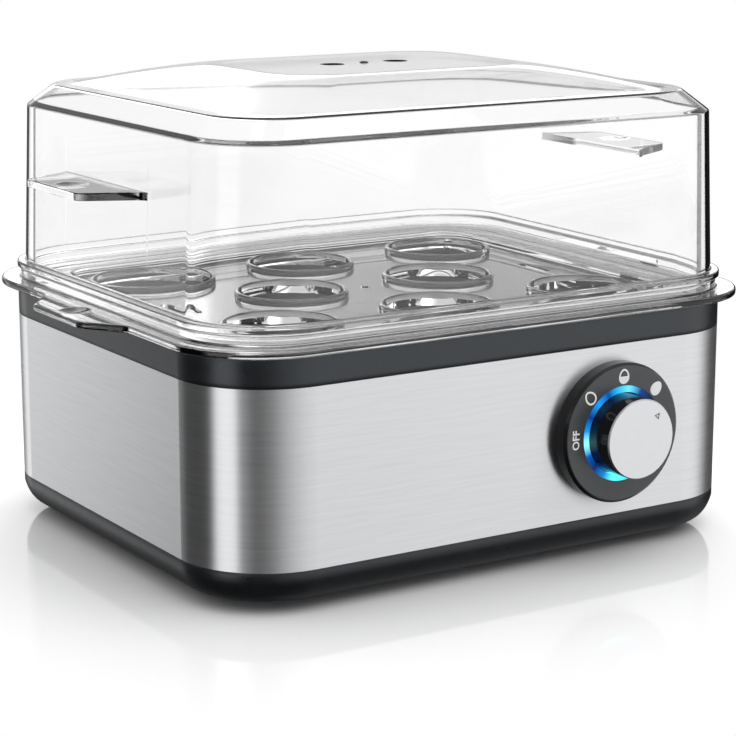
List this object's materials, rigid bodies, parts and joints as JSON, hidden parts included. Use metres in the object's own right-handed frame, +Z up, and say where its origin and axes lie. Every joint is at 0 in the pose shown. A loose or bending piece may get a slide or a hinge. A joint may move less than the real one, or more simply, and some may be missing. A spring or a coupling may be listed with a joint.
{
  "type": "electric egg cooker",
  "caption": "Rectangular egg steamer: brushed steel base with dark trim, rotary dial with light ring, heated bowl, clear lift-off seat tray and clear lid with side tabs.",
  "frame": {"origin": "on the floor under the middle of the body plan, between the feet", "axes": "+Z up, the control faces -Y, +X to the right of someone facing the control"},
  "size_m": [0.195, 0.1613, 0.1321],
  "materials": {
    "dark_plastic": "fine satin moulding grain",
    "foot_rubber": "matte",
    "zinc_steel": "plain zinc plate",
    "brushed_band": "brushed along the band",
    "silicone": "matte silicone",
    "coated_bowl": "dark non-stick coat",
    "cast_aluminium": "as cast",
    "heater_sheath": "oxidised sheath",
    "thermostat_body": "moulded phenolic",
    "dial_plastic": "satin face, polished edge",
    "light_guide": "lit blue",
    "white_plastic": "plain",
    "circuit_board": "solder mask",
    "lamp_lens": "clear lamp",
    "switch_metal": "stamped case",
    "black_plastic": "plain",
    "relay_case": "plain",
    "knob_plastic": "polished",
    "spun_aluminium": "spun satin",
    "brass": "plain",
    "wire_sleeve": "woven glass sleeve",
    "clear_plastic": "clear, polished"
  },
  "bodies": {
    "base": {"base_plinth": "dark_plastic", "top_frame": "dark_plastic", "rubber_feet": "foot_rubber", "plinth_screws": "zinc_steel", "steel_band": "brushed_band", "bowl_gasket": "silicone", "heating_bowl": "coated_bowl", "heat_plate": "cast_aluminium", "heater_element": "heater_sheath", "bowl_strap": "zinc_steel", "strap_screws": "zinc_steel", "bowl_stud": "zinc_steel", "stud_nut": "zinc_steel", "thermostat": "thermostat_body", "thermostat_screws": "zinc_steel", "thermal_fuse": "thermostat_body", "fuse_clip": "zinc_steel", "control_bezel": "dial_plastic", "light_ring": "light_guide", "board_spacer": "white_plastic", "control_board": "circuit_board", "board_lamps": "lamp_lens", "rotary_switch": "switch_metal", "switch_nut": "zinc_steel", "buzzer": "black_plastic", "relay": "relay_case", "wire_socket": "white_plastic", "cord_inlet": "black_plastic", "inlet_nut": "black_plastic", "terminal_block": "white_plastic", "terminal_screws": "brass", "heater_wires": "wire_sleeve", "supply_wires": "wire_sleeve"},
    "knob": {"knob_body": "knob_plastic", "knob_cap": "spun_aluminium", "switch_shaft": "zinc_steel"},
    "tray": {"egg_tray": "clear_plastic"},
    "lid": {"lid": "clear_plastic"}
  },
  "joints": [
    {"name": "knob_turn", "type": "hinge", "parent": "base", "child": "knob", "pos_m": [0.0349, -0.0725, 0.03572], "axis": [0, -1, 0], "range_deg": [0, 135]},
    {"name": "tray_lift", "type": "slide", "parent": "base", "child": "tray", "axis": [0, 0, 1], "range_m": [0, 0.06]},
    {"name": "lid_lift", "type": "slide", "parent": "tray", "child": "lid", "axis": [0, 0, 1], "range_m": [0, 0.09]}
  ]
}
